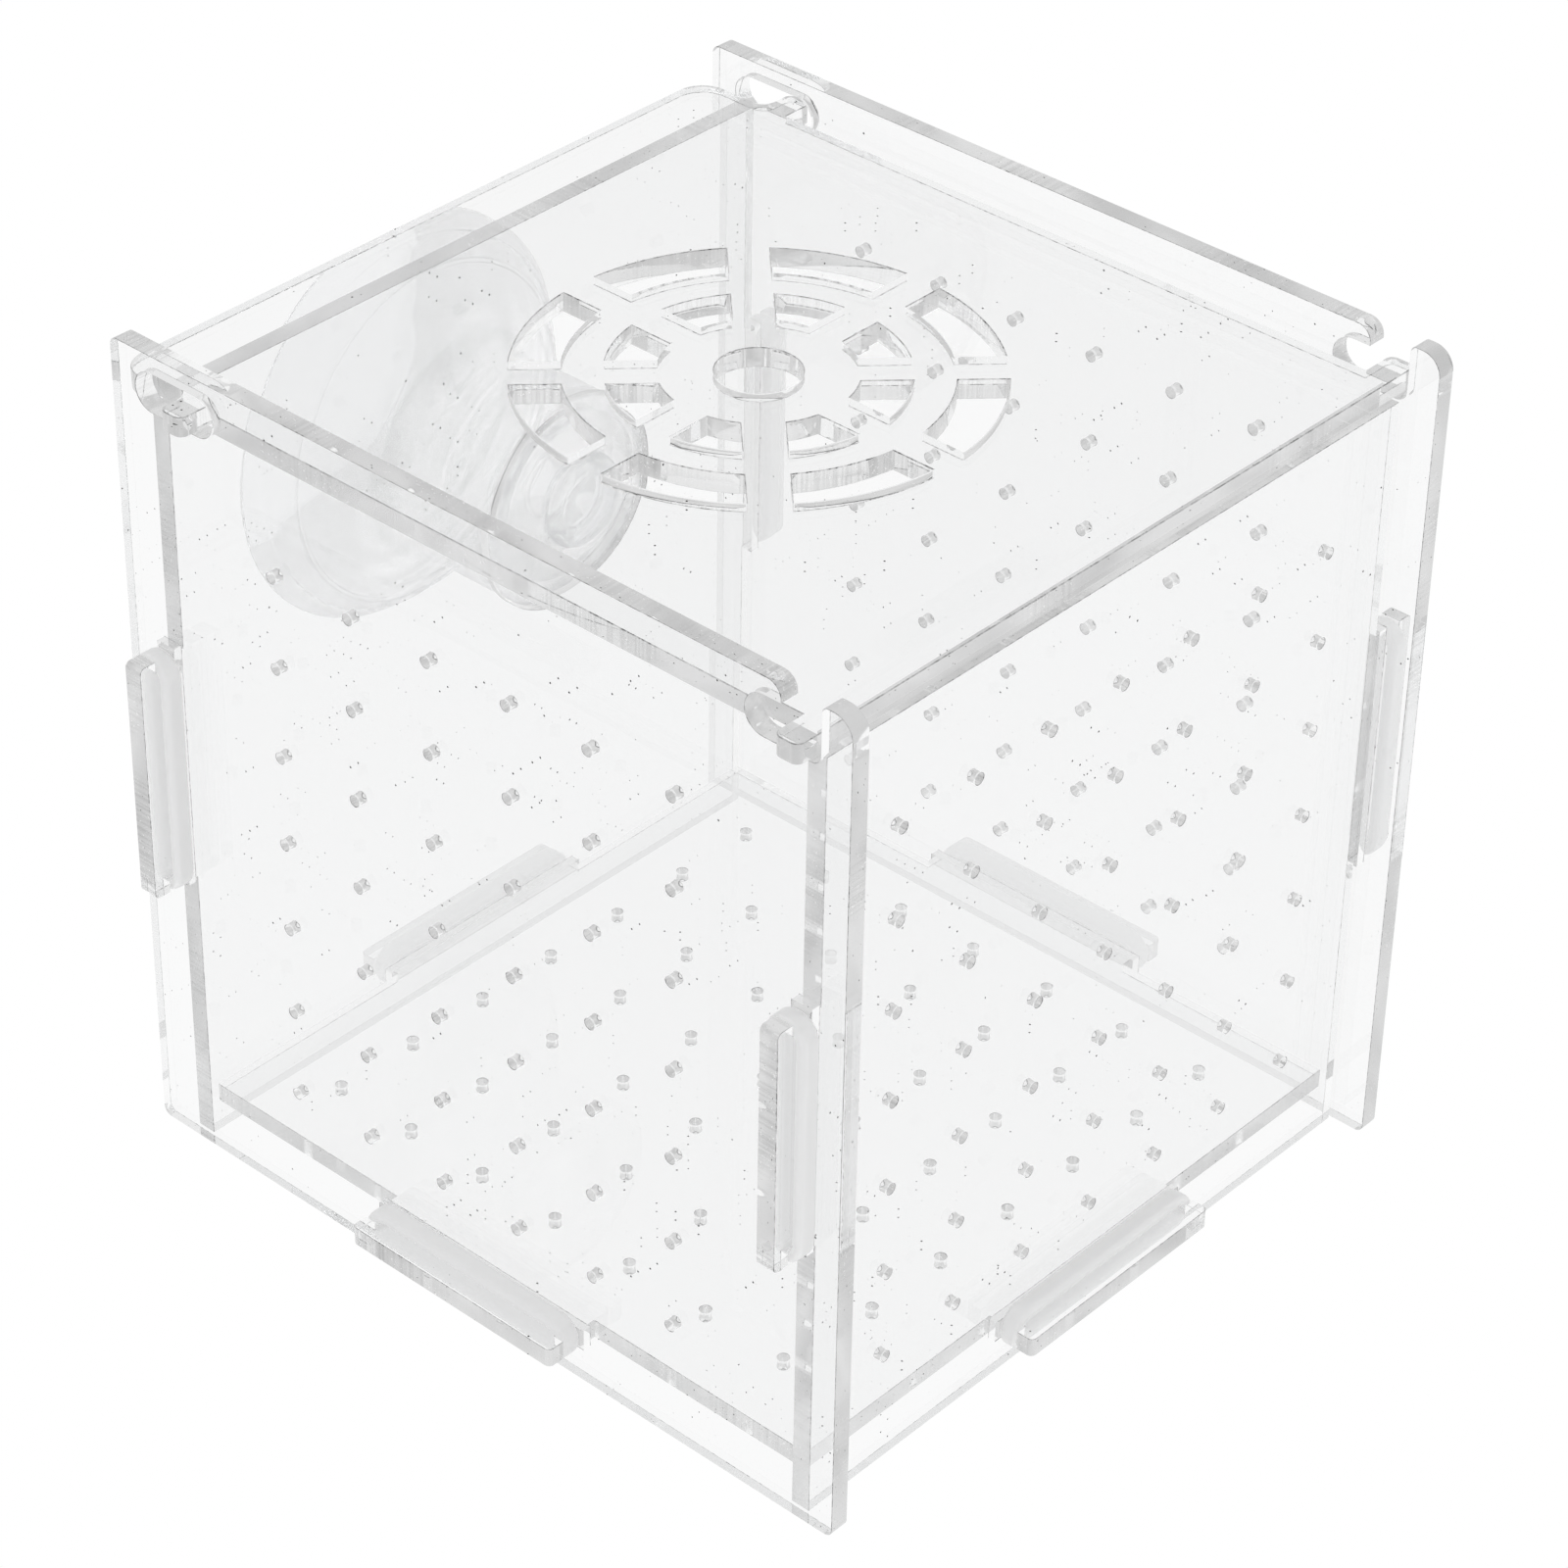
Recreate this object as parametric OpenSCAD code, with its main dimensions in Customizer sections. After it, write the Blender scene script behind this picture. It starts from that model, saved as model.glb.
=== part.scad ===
// Clear acrylic live cage: six laser-cut panels held by T-tabs and silicone bands, a vented lid
// whose corner tabs sit in slots of the front and back plates, and a clear suction cup on the left.
// Millimetres. +Z is up, -Y is the front, X runs from the suction cup (-X) to the plain side (+X).
// The origin is the centre of the footprint on the ground.

/* [Panels] */
// thickness of every acrylic sheet
sheet = 2.7; // [2:0.1:4]
// clear inside length of the cube
inside = 100; // [80:1:140]
// how far the plates stand past the side panels and the floor
overhang = 5; // [3:0.5:8]
// radius of the plates' plain corners
corner_r = 1.2; // [0.5:0.1:3]

/* [Vent holes] */
// distance between vent holes
pitch = 12.7; // [10:0.1:16]
// diameter of a vent hole
vent_d = 1.5; // [1:0.1:3]
// columns in the front and back plates
plate_cols = 6; // [3:1:7]
// rows in the front and back plates, and rows and columns in the right panel and floor
vent_rows = 7; // [3:1:7]
// height of the middle row in the front and back plates
plate_vent_z = 55.3; // [50:0.1:60]
// height of the middle row in the right panel
side_vent_z = 53.85; // [50:0.05:60]

/* [Tabs and bands] */
// length of a T-tab's head
tab_len = 34; // [25:0.5:45]
// thickness of the head outside the band
head_t = 2.4; // [2:0.1:5]
// how deep the band groove cuts into each end of the tab
groove = 1.5; // [1:0.1:3]
// corner radius of the head
head_r = 0.8; // [0.3:0.1:2.5]
// play of a tab in its slot, along the slot
slot_end_gap = 0.55; // [0.2:0.05:1]
// play of a tab in its slot, across the sheet
slot_side_gap = 0.15; // [0.05:0.05:0.3]
// play between a side panel's front or back edge and the plate there
side_play = 0.4; // [0.05:0.05:1]
// play between the floor's front or back edge and the plate there
floor_play_y = 1.3; // [0.05:0.05:1.5]
// play between the floor's left or right edge and the side panel there
floor_play_x = 0.4; // [0.05:0.05:1]
// width of a silicone band along the tab
band_w = 2.9; // [2:0.1:5]
// thickness of a band over the tab's faces
band_t = 1.6; // [1:0.05:2.5]
// overall length of a band
band_len = 34.4; // [30:0.1:45]

/* [Lid] */
// length of the lid from left to right
lid_len = 110.4; // [90:0.1:120]
// depth of the lid between the plates
lid_depth = 98.6; // [90:0.1:99.6]
// left edge of the lid in its closed position, from the plates' left edge
lid_x = -0.9; // [-2:0.1:1]
// how far the closed lid sits towards the front
lid_forward = 0.4; // [0:0.05:0.5]
// width of a corner tab
ear_w = 3.7; // [3:0.1:6]
// how far a tab stands past the plates' outer faces
ear_out = 1.5; // [1:0.1:3]
// left tabs' distance from the lid's left edge
ear_inset = 11; // [9:0.1:13]
// radius of the lid's left corners
lid_r = 4; // [2:0.1:6]
// radius of the tabs' corners
ear_r = 1.2; // [0.5:0.1:1.6]

/* [Lid grille] */
// diameter of the hole in the middle
port_d = 10.6; // [6:0.1:16]
// inner and outer radius of the inner ring of slots
ring1 = [12.1, 18.2]; // [8:0.1:20]
// inner and outer radius of the outer ring of slots
ring2 = [23.3, 29.4]; // [20:0.1:35]
// slots in each ring
spokes = 8; // [6:1:12]
// width of the spokes between the slots
spoke_w = 5.3; // [2:0.1:6]

/* [Lid slots in the plates] */
// left end of the closed slot
slot_x = 4.1; // [3:0.1:6]
// length of the closed slot
slot_len = 13.1; // [10:0.1:16]
// height of the closed slot and of the lock pocket
slot_h = 5.3; // [4:0.1:7]
// left end of the lock pocket
pocket_x = 100.1; // [95:0.1:102]
// tip of the finger over the lock pocket
finger_x = 105.3; // [103:0.1:106]
// left edge of the post at the right corner
post_x = 111; // [110:0.1:112.5]

/* [Suction cup] */
// distance of the cup's axis from the plates' front face
cup_y = 68.5; // [40:0.5:75]
// height of the cup's axis
cup_z = 64.5; // [40:0.5:75]
// diameter of the cup's lip
cup_d = 55.4; // [40:0.2:60]
// length of the cup outside the left panel
cup_len = 30.2; // [20:0.2:35]
// diameter of the round hole in the left panel
cup_hole_d = 28; // [20:0.2:32]
// gap between the cup's hub and the hole
hub_gap = 0.3; // [0.05:0.05:0.5]
// diameter of the knob inside the cage
knob_d = 13.2; // [8:0.2:18]

/* [Hidden] */
plate_w = inside + 2 * sheet + 2 * overhang;
inner_x = overhang + sheet;
inner_y = sheet;
floor_z = overhang;
ledge_z = floor_z + sheet + inside;
mid_x = plate_w / 2;
mid_y = sheet + inside / 2;
depth = inside + 2 * sheet;
tab_z = plate_w / 2;
slot_len_tab = tab_len + 2 * slot_end_gap;
slot_w_tab = sheet + 2 * slot_side_gap;
tab_out = band_w + head_t;
lid_play = 0.1;
lid_y = sheet + (inside - lid_depth) / 2 - lid_forward;
ear_y = -ear_out - lid_forward;
ear_span = depth + 2 * ear_out;
band_gap = 0.1;
hub_r = cup_hole_d / 2 - hub_gap;
origin_x = (overhang - cup_len + plate_w - overhang + tab_out) / 2;
origin_y = mid_y;
eps = 0.01;

// ---- helpers ----

// moves everything so that the origin is the centre of the footprint
module placed() {
    translate([-origin_x, -origin_y, 0]) children();
}

// what a rounded corner removes, for a corner at the origin with the sheet in the + + quarter
module nick(r) {
    difference() {
        translate([-eps, -eps]) square(r + eps);
        translate([r, r]) circle(r);
    }
}

// a rectangle with four equal rounded corners, lower left corner at the origin
module rounded(size, r) {
    difference() {
        square(size);
        nick(r);
        translate([size[0], 0]) rotate(90) nick(r);
        translate(size) rotate(180) nick(r);
        translate([0, size[1]]) rotate(270) nick(r);
    }
}

// an upright drawing (x, z) becomes a sheet whose front face is at y
module upright_xz(y) {
    translate([0, y + sheet, 0]) rotate([90, 0, 0]) linear_extrude(sheet) children();
}

// an upright drawing (y, z) becomes a sheet whose left face is at x
module upright_yz(x) {
    translate([x, 0, 0]) rotate([90, 0, 90]) linear_extrude(sheet) children();
}

// grid of vent holes around a centre
module vents(cols, rows) {
    for (i = [0 : cols - 1], j = [0 : rows - 1])
        translate([(i - (cols - 1) / 2) * pitch, (j - (rows - 1) / 2) * pitch]) circle(vent_d / 2);
}

// T-tab pointing in +x, centred on y = 0: across the play, through a sheet, groove, head; the
// sheet it passes starts at x = 0
module t_tab(play) {
    translate([-2 * play, -tab_len / 2]) square([sheet + 2 * play, tab_len]);
    translate([sheet - eps, -tab_len / 2 + groove]) square([band_w + 2 * eps, tab_len - 2 * groove]);
    translate([sheet + band_w, 0]) difference() {
        translate([0, -tab_len / 2]) square([head_t, tab_len]);
        translate([head_t, -tab_len / 2]) rotate(90) nick(head_r);
        translate([head_t, tab_len / 2]) rotate(180) nick(head_r);
    }
}

// slot that a tab passes through, long side along y
module tab_slot() {
    translate([-slot_w_tab / 2, -slot_len_tab / 2]) square([slot_w_tab, slot_len_tab]);
}

// silicone band around a tab's neck: width along z, long side along y
module band() {
    hole = [sheet + 2 * band_gap, tab_len - 2 * groove + 2 * band_gap];
    r = sheet / 2 + band_t + band_gap;
    color([0.93, 0.94, 0.95, 0.8])
    linear_extrude(band_w - band_gap, center = true) difference() {
        union() {
            translate([-r, r - band_len / 2]) square([2 * r, band_len - 2 * r]);
            for (s = [-1, 1]) translate([0, s * (band_len / 2 - r)]) circle(r);
        }
        translate([-hole[0] / 2, -hole[1] / 2]) square(hole);
    }
}

// ---- plates ----

// slot that holds the lid's left tab
module closed_slot() {
    r = slot_h / 2;
    translate([slot_x + r, ledge_z + r]) circle(r);
    translate([slot_x + slot_len - r, ledge_z + r]) circle(r);
    translate([slot_x + r, ledge_z]) square([slot_len - slot_h, slot_h]);
}

// L-shaped opening at the right: a pocket under a finger, open to the top beside it
module lock_slot() {
    r = slot_h / 2;
    difference() {
        union() {
            translate([pocket_x + r, ledge_z + r]) circle(r);
            translate([pocket_x + r, ledge_z]) square([post_x - pocket_x - r, slot_h]);
            translate([finger_x, ledge_z]) square([post_x - finger_x, plate_w - ledge_z + 1]);
        }
        translate([post_x, ledge_z]) rotate(90) nick(1.3);
    }
}

module plate_2d() {
    difference() {
        square(plate_w);
        // plain corners
        nick(corner_r);
        translate([plate_w, 0]) rotate(90) nick(corner_r);
        translate([0, plate_w]) rotate(270) nick(corner_r);
        // post, rounded more on its outside
        translate([plate_w, plate_w]) rotate(180) nick(2.8);
        translate([post_x, plate_w]) rotate(270) nick(0.8);
        // finger tip
        translate([finger_x, plate_w]) rotate(180) nick(2);
        lock_slot();
        closed_slot();
        // slots for the side panels' tabs and for the floor's tab
        for (x = [overhang + sheet / 2, plate_w - overhang - sheet / 2]) translate([x, tab_z]) tab_slot();
        translate([mid_x, floor_z + sheet / 2]) rotate(90) tab_slot();
        translate([mid_x, plate_vent_z]) vents(plate_cols, vent_rows);
    }
}

module front_panel() color([0.86, 0.9, 0.93, 0.3]) placed() upright_xz(0) plate_2d();

module back_panel() color([0.86, 0.9, 0.93, 0.3]) placed() upright_xz(depth - sheet) plate_2d();

// ---- side panels and floor ----

// outline of a side panel in (y, z), with its two tabs and the slot for the floor's tab
module side_2d() {
    difference() {
        union() {
            translate([inner_y + side_play, 0]) square([inside - 2 * side_play, ledge_z]);
            translate([inner_y + inside, tab_z]) t_tab(side_play);
            translate([inner_y, tab_z]) mirror([1, 0]) t_tab(side_play);
        }
        translate([mid_y, floor_z + sheet / 2]) rotate(90) tab_slot();
    }
}

module left_panel() color([0.86, 0.9, 0.93, 0.3]) placed() upright_yz(overhang) difference() {
    side_2d();
    translate([cup_y, cup_z]) circle(cup_hole_d / 2);
}

module right_panel() color([0.86, 0.9, 0.93, 0.3]) placed() upright_yz(plate_w - overhang - sheet) difference() {
    side_2d();
    translate([mid_y, side_vent_z]) vents(vent_rows, vent_rows);
}

module floor_panel() color([0.86, 0.9, 0.93, 0.3]) placed() translate([0, 0, floor_z]) linear_extrude(sheet) {
    difference() {
        translate([inner_x + floor_play_x, inner_y + floor_play_y])
            square([inside - 2 * floor_play_x, inside - 2 * floor_play_y]);
        translate([mid_x, mid_y]) vents(vent_rows, vent_rows);
    }
    translate([inner_x + inside, mid_y]) t_tab(floor_play_x);
    translate([inner_x, mid_y]) mirror([1, 0]) t_tab(floor_play_x);
    translate([mid_x, inner_y + inside]) rotate(90) t_tab(floor_play_y);
    translate([mid_x, inner_y]) rotate(270) t_tab(floor_play_y);
}

// ---- bands ----

// band around a side panel's tab, at the tab's groove centre y
module side_band(x, y) {
    placed() translate([x, y, tab_z]) rotate([90, 0, 0]) band();
}

// band around a floor tab; the groove runs along X on the left and right, along Y at front and back
module floor_band_x(x) {
    placed() translate([x, mid_y, floor_z + sheet / 2]) rotate([0, 90, 0]) band();
}

module floor_band_y(y) {
    placed() translate([mid_x, y, floor_z + sheet / 2]) rotate([90, 90, 0]) band();
}

module band_left_front() side_band(overhang + sheet / 2, -band_w / 2);

module band_left_back() side_band(overhang + sheet / 2, depth + band_w / 2);

module band_right_front() side_band(plate_w - overhang - sheet / 2, -band_w / 2);

module band_right_back() side_band(plate_w - overhang - sheet / 2, depth + band_w / 2);

module band_floor_front() floor_band_y(-band_w / 2);

module band_floor_back() floor_band_y(depth + band_w / 2);

module band_floor_left() floor_band_x(overhang - band_w / 2);

module band_floor_right() floor_band_x(plate_w - overhang + band_w / 2);

// ---- lid ----

// one ring of slots between radial spokes with parallel sides
module slot_ring(radii) {
    difference() {
        circle(radii[1]);
        circle(radii[0]);
        for (k = [0 : spokes / 2 - 1]) rotate(k * 360 / spokes)
            translate([-radii[1] - 1, -spoke_w / 2]) square([2 * radii[1] + 2, spoke_w]);
    }
}

// a pair of tabs reaching through both plates, left edge at x
module ears(x) {
    translate([x, ear_y]) rounded([ear_w, ear_span], ear_r);
}

module lid() color([0.86, 0.9, 0.93, 0.3]) placed() translate([lid_x, 0, ledge_z + lid_play]) linear_extrude(sheet) {
    root_r = 2;
    difference() {
        union() {
            difference() {
                translate([0, lid_y]) square([lid_len, lid_depth]);
                translate([0, lid_y]) nick(lid_r);
                translate([0, lid_y + lid_depth]) rotate(270) nick(lid_r);
            }
            ears(ear_inset);
            ears(lid_len - ear_w);
            // curved roots on the left side of the left tabs
            translate([ear_inset, lid_y]) rotate(180) nick(root_r);
            translate([ear_inset, lid_y + lid_depth]) rotate(90) nick(root_r);
        }
        translate([lid_len / 2, mid_y - lid_forward]) {
            circle(port_d / 2);
            slot_ring(ring1);
            slot_ring(ring2);
        }
    }
}

// ---- suction cup, drawn as (radius, distance out from the left panel's outer face) ----

module cup_2d() {
    r_lip = cup_d / 2;
    hub_out = 15;
    recess_r = 11.4;
    recess_h = 1.5;
    neck_r = 4.4;
    knob_r = knob_d / 2;
    knob_t = 2.8;
    // soft dish: thick in the middle, thin at the lip, hollow on its outer face
    polygon([[0, hub_out - 1], [hub_r, hub_out - 1], [hub_r, hub_out], [hub_r + 1.5, hub_out + 2.4],
        [r_lip - 1.6, cup_len - 2.2], [r_lip, cup_len - 0.5], [r_lip, cup_len], [r_lip - 0.5, cup_len],
        [r_lip - 3.6, cup_len - 2.4], [16, cup_len - 5.6], [0, cup_len - 6.4]]);
    // hub that fills the panel's hole, with a ring-shaped recess around the neck
    difference() {
        translate([0, 0.3 - sheet]) square([hub_r, hub_out - 0.7 + sheet]);
        translate([neck_r, -sheet - 1]) square([recess_r - neck_r, sheet + 1 + recess_h]);
        translate([hub_r, 0.3 - sheet]) rotate(90) nick(0.6);
    }
    // neck and mushroom knob inside the cage
    translate([0, -sheet - 0.5]) square([neck_r, sheet + 2]);
    translate([0, -sheet - knob_t]) square([knob_r - knob_t / 2, knob_t]);
    translate([knob_r - knob_t / 2, -sheet - knob_t / 2]) circle(knob_t / 2);
}

module suction_cup() color([0.85, 0.9, 0.94, 0.4])
    placed() translate([overhang, cup_y, cup_z]) rotate([0, -90, 0]) rotate_extrude() cup_2d();

front_panel();
back_panel();
left_panel();
right_panel();
floor_panel();
lid();
band_left_front();
band_left_back();
band_right_front();
band_right_back();
band_floor_front();
band_floor_back();
band_floor_left();
band_floor_right();
suction_cup();
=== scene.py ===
"""Clear acrylic queen cage. Metres, in the CAD row frame: +Z up, -Y front, suction cup towards -X."""
import bpy
import math
from mathutils import Matrix, Vector

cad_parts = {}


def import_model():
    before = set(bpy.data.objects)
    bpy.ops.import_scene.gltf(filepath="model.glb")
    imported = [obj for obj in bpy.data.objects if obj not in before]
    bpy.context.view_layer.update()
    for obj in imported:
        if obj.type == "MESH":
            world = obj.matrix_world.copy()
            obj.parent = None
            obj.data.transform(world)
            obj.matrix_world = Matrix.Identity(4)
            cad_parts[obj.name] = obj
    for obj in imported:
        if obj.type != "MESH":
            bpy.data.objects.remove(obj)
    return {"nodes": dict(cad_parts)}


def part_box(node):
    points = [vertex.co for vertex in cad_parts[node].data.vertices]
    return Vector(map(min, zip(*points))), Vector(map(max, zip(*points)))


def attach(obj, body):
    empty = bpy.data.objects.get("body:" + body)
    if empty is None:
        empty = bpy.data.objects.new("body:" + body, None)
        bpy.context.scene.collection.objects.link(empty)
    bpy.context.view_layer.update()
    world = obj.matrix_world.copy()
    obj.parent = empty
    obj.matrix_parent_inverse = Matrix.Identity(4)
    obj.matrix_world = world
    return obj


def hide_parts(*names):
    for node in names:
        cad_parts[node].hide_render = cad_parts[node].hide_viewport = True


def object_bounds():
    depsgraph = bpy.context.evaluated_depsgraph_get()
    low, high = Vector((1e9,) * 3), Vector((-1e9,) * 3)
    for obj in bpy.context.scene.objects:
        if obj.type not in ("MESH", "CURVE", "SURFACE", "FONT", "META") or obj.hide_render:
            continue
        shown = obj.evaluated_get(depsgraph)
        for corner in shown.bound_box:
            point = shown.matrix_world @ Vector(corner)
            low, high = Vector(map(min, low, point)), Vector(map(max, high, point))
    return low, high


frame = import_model()
cad_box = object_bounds()
MM = 0.001
nodes = frame["nodes"]

# the axis that each acrylic sheet's two polished faces look along
SHEETS = {"front_panel": 1, "back_panel": 1, "left_panel": 0, "right_panel": 0, "floor_panel": 2, "lid": 2}
BANDS = sorted(n for n in nodes if n.startswith("band_"))

# width of the broken corner along a sheet's cut edges
EDGE_BREAK = 0.06 * MM
LID_EDGE_BREAK = 0.1 * MM

# the view: angles in degrees, target from the front plate's lower left front corner and distance in mm
AZIMUTH, ELEVATION, ROLL = 41.651, 35.139, 1.027
TARGET = Vector((54.597, 57.7, 48.699))
DISTANCE = 627.24
LENS = 115.56

# ---------------------------------------------------------------- node helpers


class Tree:
    """Short way to write a node tree: add a node, set sockets, link by passing a socket."""

    def __init__(self, tree):
        self.tree = tree
        tree.nodes.clear()

    def add(self, kind, sockets=None, **settings):
        node = self.tree.nodes.new(kind)
        for name, value in settings.items():
            setattr(node, name, value)
        for name, value in (sockets or {}).items():
            socket = node.inputs[name]
            if isinstance(value, bpy.types.NodeSocket):
                self.tree.links.new(value, socket)
            else:
                socket.default_value = value
        return node

    def math(self, operation, a, b=0.0, clamp=False):
        return self.add("ShaderNodeMath", {0: a, 1: b}, operation=operation, use_clamp=clamp).outputs[0]

    def ramp(self, value, low, high, out_low=0.0, out_high=1.0):
        sockets = {"Value": value, "From Min": low, "From Max": high, "To Min": out_low, "To Max": out_high}
        return self.add("ShaderNodeMapRange", sockets).outputs[0]

    def mix(self, factor, a, b):
        return self.add("ShaderNodeMixShader", {0: factor, 1: a, 2: b}).outputs[0]

    def even_light(self, level):
        return self.add("ShaderNodeEmission", {"Color": (1, 1, 1, 1), "Strength": level}).outputs[0]

    def tinted(self, level, tint):
        channels = {i: self.math("MULTIPLY", level, c) for i, c in enumerate(tint)}
        return self.add("ShaderNodeCombineColor", channels).outputs[0]

    def noise(self, place, scale, detail):
        return self.add("ShaderNodeTexNoise", {"Vector": place, "Scale": scale, "Detail": detail}).outputs[0]

    def finish(self, shader):
        self.link(shader, self.add("ShaderNodeOutputMaterial").inputs[0])

    def link(self, a, b):
        self.tree.links.new(a, b)


def material(name):
    """A new material with an empty tree; its own glow doesn't light other pieces."""
    mat = bpy.data.materials.new(name)
    mat.use_nodes = True
    mat.cycles.emission_sampling = "NONE"
    return mat, Tree(mat.node_tree)


# ---------------------------------------------------------------- materials


def with_painted_glow(t, shader, glow, mirror_turns=3.5):
    """Painted glow in place of traced light: light caught in a cut edge is painted an even grey glow, light
    that passed many sheets or spread often a near-white glow.
    """
    path = t.add("ShaderNodeLightPath").outputs
    passed = t.math("GREATER_THAN", path["Ray Depth"], 9.5)
    spread = t.math("GREATER_THAN", path["Diffuse Depth"], 2.5)
    caught = t.math("GREATER_THAN", path["Glossy Depth"], mirror_turns)
    shader = t.mix(t.math("MAXIMUM", passed, spread), shader, t.even_light(0.84))
    return t.mix(caught, shader, t.even_light(glow))


def painted_veil_share(t, first, last, share):
    """How much painted pale veil a thing gets behind other sheets: 0 up to the first surface, share from the
    last on.
    """
    layers = t.add("ShaderNodeLightPath").outputs["Transmission Depth"]
    return t.ramp(layers, first, last, 0.0, share)


def specks(t, place, side, axis):
    """Where fine black dust lies on a polished face: 1 on a speck."""
    split = t.add("ShaderNodeSeparateXYZ", {0: place}).outputs
    u, v = [split[i] for i in range(3) if i != axis]
    shift = t.math("MULTIPLY", side, 0.0137)
    flat = t.add("ShaderNodeCombineXYZ", {0: t.math("ADD", u, shift), 1: v}).outputs[0]
    cells = t.add("ShaderNodeTexVoronoi", {"Vector": flat, "Scale": 330.0}, voronoi_dimensions="2D")
    chance = t.add("ShaderNodeSeparateColor", {0: cells.outputs["Color"]}).outputs
    share = t.ramp(t.noise(place, 45.0, 1.0), 0.38, 0.7, 0.02, 0.42)
    chosen = t.math("LESS_THAN", chance[0], share)
    size = t.ramp(t.math("POWER", chance[1], 2.0), 0.0, 1.0, 0.012, 0.046)
    return t.math("MULTIPLY", chosen, t.math("LESS_THAN", cells.outputs["Distance"], size))


def acrylic(axis):
    """Clear acrylic sheet whose faces look along the given axis, with fine laser ridges on its cut edges."""
    mat, t = material("clear_acrylic_" + "xyz"[axis])
    place = t.add("ShaderNodeTexCoord").outputs["Object"]
    normal = t.add("ShaderNodeNewGeometry").outputs["True Normal"]
    side = t.add("ShaderNodeSeparateXYZ", {0: normal}).outputs[axis]
    flatness = t.math("ABSOLUTE", side)
    edge = t.math("LESS_THAN", flatness, 0.9)
    corner = t.math("MULTIPLY", edge, t.math("GREATER_THAN", flatness, 0.35))
    # ridges that run across the sheet's thickness on the cut edges
    stretch = [9000.0, 9000.0, 9000.0]
    stretch[axis] = 160.0
    ridge_place = t.add("ShaderNodeMapping", {0: place, "Scale": stretch}).outputs[0]
    ridges = t.noise(ridge_place, 0.35, 2.0)
    bump = t.add("ShaderNodeBump", {
        "Strength": t.math("MULTIPLY", edge, 0.008), "Distance": 0.1 * MM, "Height": ridges}).outputs[0]
    # the ridges darken a cut edge in patches, and its broken corners get a painted shade in fine patches
    patches = t.noise(place, 60.0, 2.0)
    ridged = t.math("MULTIPLY", t.ramp(ridges, 0.42, 0.62), t.ramp(patches, 0.48, 0.62, 0.03, 0.3))
    corner_shade = t.math("MULTIPLY", corner, t.ramp(t.noise(place, 1300.0, 2.0), 0.35, 0.62, 0.25, 0.85))
    ridge_and_shade_level = t.math("SUBTRACT", t.math("SUBTRACT", 1.0, corner_shade), t.math("MULTIPLY", edge, ridged), clamp=True)
    glass = t.add("ShaderNodeBsdfPrincipled", {
        "Base Color": t.tinted(ridge_and_shade_level, (0.950, 0.952, 0.953)), "IOR": 1.49, "Roughness": 0.0,
        "Transmission Weight": 1.0, "Normal": bump}).outputs[0]
    # painted patchy grey glow on rays caught in a cut edge, painted near-white glow on rays that passed many
    # sheets
    body = with_painted_glow(t, glass, t.ramp(patches, 0.35, 0.65, 0.56, 0.74))
    # small painted bright glints dotted along the cut edge
    edge_glints = t.math("MULTIPLY", edge, t.ramp(t.noise(place, 2600.0, 1.0), 0.67, 0.71, 0.0, 0.5))
    body = t.mix(t.math("MULTIPLY", edge_glints, t.ramp(patches, 0.45, 0.6)), body, t.even_light(0.95))
    # painted pale veil on a cut edge seen through another sheet
    body = t.mix(t.math("MULTIPLY", edge, painted_veil_share(t, 2.5, 4.5, 0.7)), body, t.even_light(0.88))
    dust = t.add("ShaderNodeBsdfDiffuse", {"Color": (0.03, 0.028, 0.025, 1)}).outputs[0]
    on_face = t.math("SUBTRACT", 1.0, edge)
    dusty = t.math("MULTIPLY", on_face, specks(t, place, side, axis))
    t.finish(t.mix(dusty, body, dust))
    return mat


def silicone():
    """Translucent white silicone: light spreads through it, with a soft satin sheen, flattened by a painted
    even glow.
    """
    mat, t = material("white_silicone")
    place = t.add("ShaderNodeTexCoord").outputs["Object"]
    cloud = t.noise(place, 400.0, 3.0)
    channels = {i: t.ramp(cloud, 0.3, 0.7, low, low + 0.04) for i, low in enumerate((0.90, 0.905, 0.91))}
    tone = t.add("ShaderNodeCombineColor", channels).outputs[0]
    white = t.add("ShaderNodeBsdfDiffuse", {"Color": tone}).outputs[0]
    through = t.add("ShaderNodeBsdfTranslucent", {"Color": tone}).outputs[0]
    milk = t.mix(0.5, white, through)
    clear = t.add("ShaderNodeBsdfPrincipled", {
        "Base Color": (0.97, 0.972, 0.975, 1), "IOR": 1.41, "Roughness": 0.22,
        "Transmission Weight": 1.0}).outputs[0]
    # painted glow on rays that bounced or spread often
    body = with_painted_glow(t, t.mix(0.4, milk, clear), 0.8, 2.5)
    # more than half of the silicone is a painted even glow
    body = t.mix(0.55, body, t.even_light(0.8))
    # painted pale veil where the silicone is seen through other sheets
    t.finish(t.mix(painted_veil_share(t, 1.5, 3.5, 0.5), body, t.even_light(0.9)))
    return mat


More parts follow.
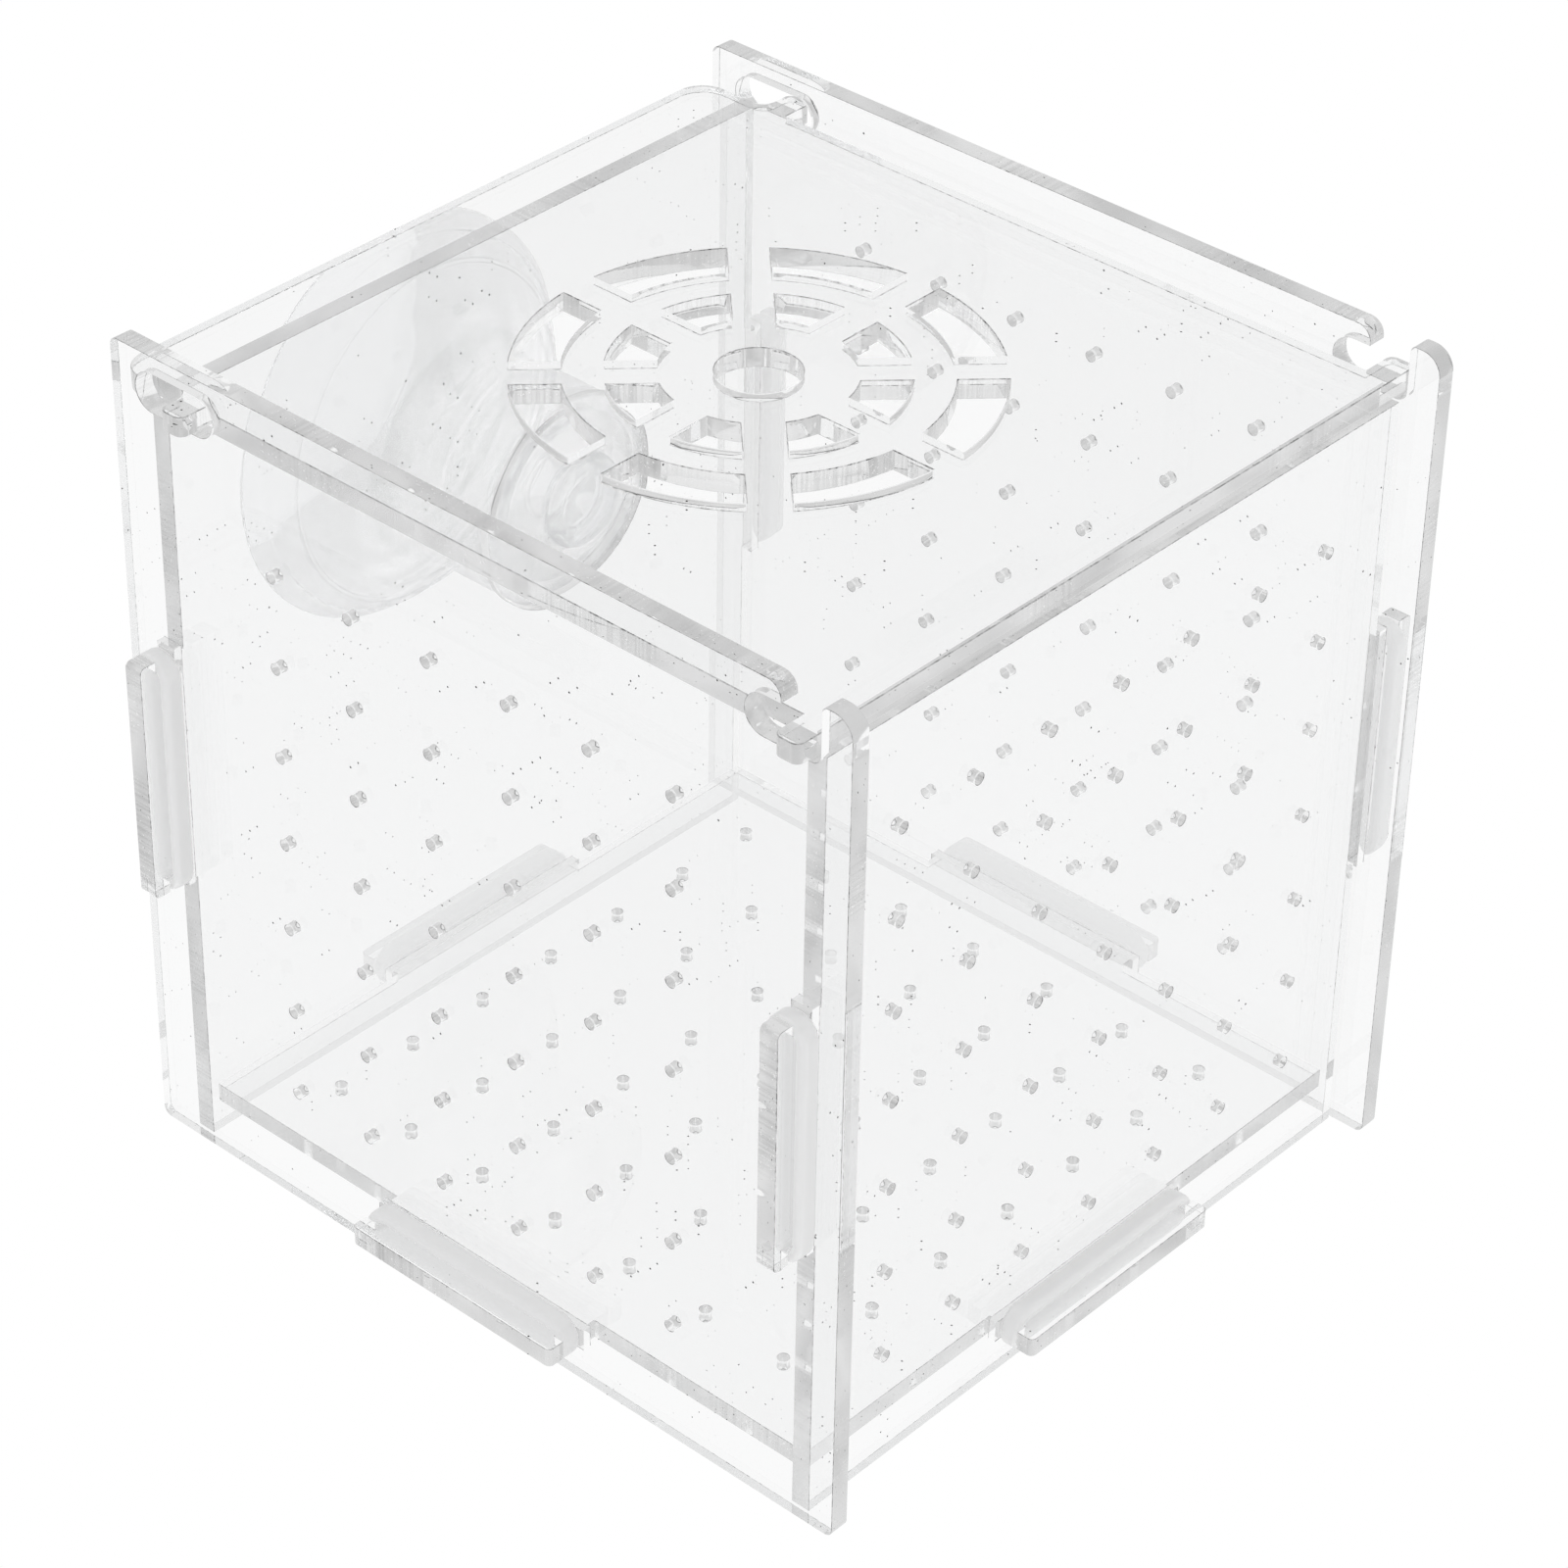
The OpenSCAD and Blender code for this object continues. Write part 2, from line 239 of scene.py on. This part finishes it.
def soft_pvc():
    """Clear, slightly cloudy soft PVC."""
    mat, t = material("clear_pvc")
    place = t.add("ShaderNodeTexCoord").outputs["Object"]
    wave = t.noise(place, 90.0, 2.0)
    bump = t.add("ShaderNodeBump", {"Strength": 0.1, "Distance": 0.3 * MM, "Height": wave}).outputs[0]
    clear = t.add("ShaderNodeBsdfPrincipled", {
        "Base Color": (0.975, 0.977, 0.98, 1), "IOR": 1.5, "Roughness": 0.12, "Transmission Weight": 1.0,
        "Normal": bump}).outputs[0]
    haze = t.add("ShaderNodeBsdfTranslucent", {"Color": (0.93, 0.935, 0.94, 1)}).outputs[0]
    straight = t.add("ShaderNodeBsdfTransparent", {"Color": (0.975, 0.977, 0.98, 1)}).outputs[0]
    body = t.mix(0.55, t.mix(0.06, clear, haze), straight)
    # painted glow on rays that bounced or passed often
    t.finish(with_painted_glow(t, body, 0.8, 2.5))
    return mat


def paint(obj, mat):
    obj.data.materials.clear()
    obj.data.materials.append(mat)


# ---------------------------------------------------------------- pieces


def new_piece(name, verts, faces, mat, body, stands_for, smooth_angle):
    """A mesh piece that rides on a body and stands for one CAD node."""
    mesh = bpy.data.meshes.new(name)
    mesh.from_pydata(verts, [], faces)
    mesh.validate()
    mesh.shade_smooth()
    mesh.set_sharp_from_angle(angle=math.radians(smooth_angle))
    mesh.materials.append(mat)
    obj = bpy.data.objects.new(name, mesh)
    bpy.context.scene.collection.objects.link(obj)
    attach(obj, body)
    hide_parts(stands_for)
    return obj


def dress_sheet(name, mat):
    """The CAD sheet with the corners along its cut edges very slightly broken."""
    obj = nodes[name]
    paint(obj, mat)
    weld = obj.modifiers.new("weld", "WELD")
    weld.merge_threshold = 0.001 * MM
    flat = obj.modifiers.new("flat faces", "DECIMATE")
    flat.decimate_type = "DISSOLVE"
    flat.angle_limit = math.radians(1)
    bevel = obj.modifiers.new("edge break", "BEVEL")
    bevel.width = LID_EDGE_BREAK if name == "lid" else EDGE_BREAK
    bevel.segments = 1
    bevel.limit_method = "ANGLE"
    bevel.angle_limit = math.radians(50)
    bevel.use_clamp_overlap = False


def band_piece(name, mat):
    """A silicone loop with rounded edges around a tab's neck, as large as its CAD node."""
    low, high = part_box(name)
    size = high - low
    axes = sorted(range(3), key=lambda i: size[i])
    across, thin, along = axes
    middle = (low + high) / 2
    half_long, half_thin, half_wide = size[along] / 2, size[thin] / 2, size[across] / 2
    wall = 1.55 * MM
    round_r = 0.7 * MM
    turns, corner_steps = 16, 5
    # centre line: a stadium in the (along, thin) plane
    bend = half_thin - wall / 2
    straight = half_long - half_thin
    path = []
    for end in (1, -1):
        for i in range(turns + 1):
            a = math.pi * (i / turns - 0.5)
            out = Vector((math.cos(a) * end, math.sin(a) * end))
            path.append((Vector((end * straight, 0)) + bend * out, out))
    # cross-section: a rounded rectangle, (outwards, across)
    ring = []
    inner = Vector((wall / 2 - round_r, half_wide - round_r))
    for quarter in range(4):
        sx, sy = [(1, 1), (-1, 1), (-1, -1), (1, -1)][quarter]
        for i in range(corner_steps + 1):
            a = math.radians(90) * (quarter + i / corner_steps)
            ring.append((sx * inner.x + round_r * math.cos(a), sy * inner.y + round_r * math.sin(a)))
    verts = []
    for centre, out in path:
        for r_out, r_across in ring:
            p = Vector(middle)
            p[along] += centre.x + out.x * r_out
            p[thin] += centre.y + out.y * r_out
            p[across] += r_across
            verts.append(p)
    n, m = len(path), len(ring)
    faces = [(i * m + j, i * m + (j + 1) % m, ((i + 1) % n) * m + (j + 1) % m, ((i + 1) % n) * m + j)
             for i in range(n) for j in range(m)]
    return new_piece(name + "_soft", verts, faces, mat, "box", name, 60)


def smooth_line(points, steps):
    """A Catmull-Rom curve through the points."""
    p = [Vector(q) for q in points]
    p = [2 * p[0] - p[1]] + p + [2 * p[-1] - p[-2]]
    line = []
    for i in range(1, len(p) - 2):
        for s in range(steps):
            t = s / steps
            line.append(0.5 * (2 * p[i] + (p[i + 1] - p[i - 1]) * t
                               + (2 * p[i - 1] - 5 * p[i] + 4 * p[i + 1] - p[i + 2]) * t * t
                               + (3 * p[i] - p[i - 1] - 3 * p[i + 1] + p[i + 2]) * t ** 3))
    line.append(p[-2])
    return line


def cup_piece(mat):
    """The suction cup turned around its axis: lip with fine rings, soft dish, hub, neck and knob."""
    low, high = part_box("suction_cup")
    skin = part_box("left_panel")[0].x
    axis_y, axis_z = (low.y + high.y) / 2, (low.z + high.z) / 2
    lip_r = (high.z - low.z) / 2 / MM
    length = (skin - low.x) / MM
    # (radius, distance out from the left panel's outer face), in mm, from the lip's flat ring inwards
    hollow = smooth_line([(lip_r - 0.5, length), (lip_r - 2.2, length - 1.0), (lip_r - 5.0, length - 2.3),
                          (16.0, length - 4.3), (8.0, length - 6.0), (0.0, length - 6.4)], 8)
    back = smooth_line([(13.7, 13.8), (13.9, 15.2), (14.8, 16.9), (17.2, 19.6), (20.6, 23.2),
                        (lip_r - 5.2, length - 5.9)], 6)
    # two fine raised rings on the back of the lip
    rings = [(lip_r - 5.2, length - 5.9), (lip_r - 5.0, length - 6.1), (lip_r - 4.6, length - 6.0),
             (lip_r - 4.4, length - 5.3), (lip_r - 3.4, length - 4.1), (lip_r - 2.4, length - 3.0),
             (lip_r - 2.1, length - 3.1), (lip_r - 1.7, length - 2.9), (lip_r - 1.5, length - 2.2),
             (lip_r - 0.6, length - 1.3), (lip_r - 0.1, length - 0.8), (lip_r, length - 0.5),
             (lip_r, length - 0.1)]
    hub = [(13.1, -2.35), (13.5, -2.2), (13.7, -1.8)]
    recess = smooth_line([(11.9, -2.4), (11.4, -2.0), (11.2, 0.8), (10.6, 1.4), (5.2, 1.5), (4.6, 1.1),
                          (4.4, 0.4)], 3)
    knob = smooth_line([(4.4, -2.5), (4.8, -2.72), (5.2, -2.75), (6.3, -3.2), (6.6, -4.1), (6.3, -5.0),
                        (5.2, -5.45), (4.6, -5.45), (4.2, -5.2), (3.6, -5.1), (1.8, -5.25), (0.0, -5.3)], 4)
    profile = [Vector(p) for p in list(reversed(hollow))]
    profile += [Vector(p) for p in reversed(rings)]
    profile += [Vector(p) for p in reversed(back[:-1])]
    profile += [Vector(p) for p in reversed(hub)]
    profile += [Vector(p) for p in recess]
    profile += [Vector(p) for p in knob]
    turns = 128
    verts, faces, rows = [], [], []
    for r, out in profile:
        x = skin - out * MM
        if r < 1e-6:
            rows.append([len(verts)] * turns)
            verts.append((x, axis_y, axis_z))
            continue
        rows.append([len(verts) + k for k in range(turns)])
        for k in range(turns):
            a = math.tau * k / turns
            verts.append((x, axis_y + r * MM * math.cos(a), axis_z + r * MM * math.sin(a)))
    for top, bottom in zip(rows, rows[1:]):
        for k in range(turns):
            quad = (top[k], top[(k + 1) % turns], bottom[(k + 1) % turns], bottom[k])
            faces.append(tuple(dict.fromkeys(quad)))
    return new_piece("suction_cup_soft", verts, faces, mat, "suction_cup", "suction_cup", 40)


# ---------------------------------------------------------------- stage


def floor():
    """A wide glowing white table just under the cage."""
    mesh = bpy.data.meshes.new("floor")
    half = 3.0
    corners = [(-half, -half, 0), (half, -half, 0), (half, half, 0), (-half, half, 0)]
    mesh.from_pydata(corners, [], [(0, 1, 2, 3)])
    obj = bpy.data.objects.new("floor", mesh)
    bpy.context.scene.collection.objects.link(obj)
    obj.location.z = cad_box[0].z - 0.2 * MM
    mat, t = material("light_table")
    t.finish(t.even_light(1.0))
    mat.cycles.emission_sampling = "AUTO"
    mesh.materials.append(mat)


def world():
    """Soft light from all around, a little brighter overhead."""
    scene = bpy.context.scene
    scene.world = bpy.data.worlds.new("studio")
    scene.world.use_nodes = True
    t = Tree(scene.world.node_tree)
    direction = t.add("ShaderNodeTexCoord").outputs["Generated"]
    height = t.add("ShaderNodeSeparateXYZ", {0: direction}).outputs[2]
    strength = t.ramp(height, 0.0, 1.0, 0.72, 0.92)
    back = t.add("ShaderNodeBackground", {"Color": (1, 1, 1, 1), "Strength": strength}).outputs[0]
    t.link(back, t.add("ShaderNodeOutputWorld").inputs[0])


def camera():
    """A long lens that looks down on the front plate and the right panel."""
    data = bpy.data.cameras.new("camera")
    cam = bpy.data.objects.new("camera", data)
    bpy.context.scene.collection.objects.link(cam)
    azimuth, elevation, roll = [math.radians(angle) for angle in (AZIMUTH, ELEVATION, ROLL)]
    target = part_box("front_panel")[0] + TARGET * MM
    back = Vector((math.sin(azimuth) * math.cos(elevation), -math.cos(azimuth) * math.cos(elevation),
                   math.sin(elevation)))
    right = Vector((0, 0, 1)).cross(back).normalized()
    up = back.cross(right)
    cam_right = math.cos(roll) * right + math.sin(roll) * up
    cam_up = math.cos(roll) * up - math.sin(roll) * right
    turn = Matrix((cam_right, cam_up, back)).transposed()
    cam.matrix_world = Matrix.Translation(target + DISTANCE * MM * back) @ turn.to_4x4()
    data.sensor_width = 36.0
    data.lens = LENS
    data.clip_start, data.clip_end = 0.01, 20.0
    bpy.context.scene.camera = cam


sheet_finish = [acrylic(a) for a in range(3)]
for name, axis in SHEETS.items():
    dress_sheet(name, sheet_finish[axis])
band_finish = silicone()
for name in BANDS:
    band_piece(name, band_finish)
cup_piece(soft_pvc())

floor()
world()
camera()
bpy.context.scene.view_settings.view_transform = "Standard"
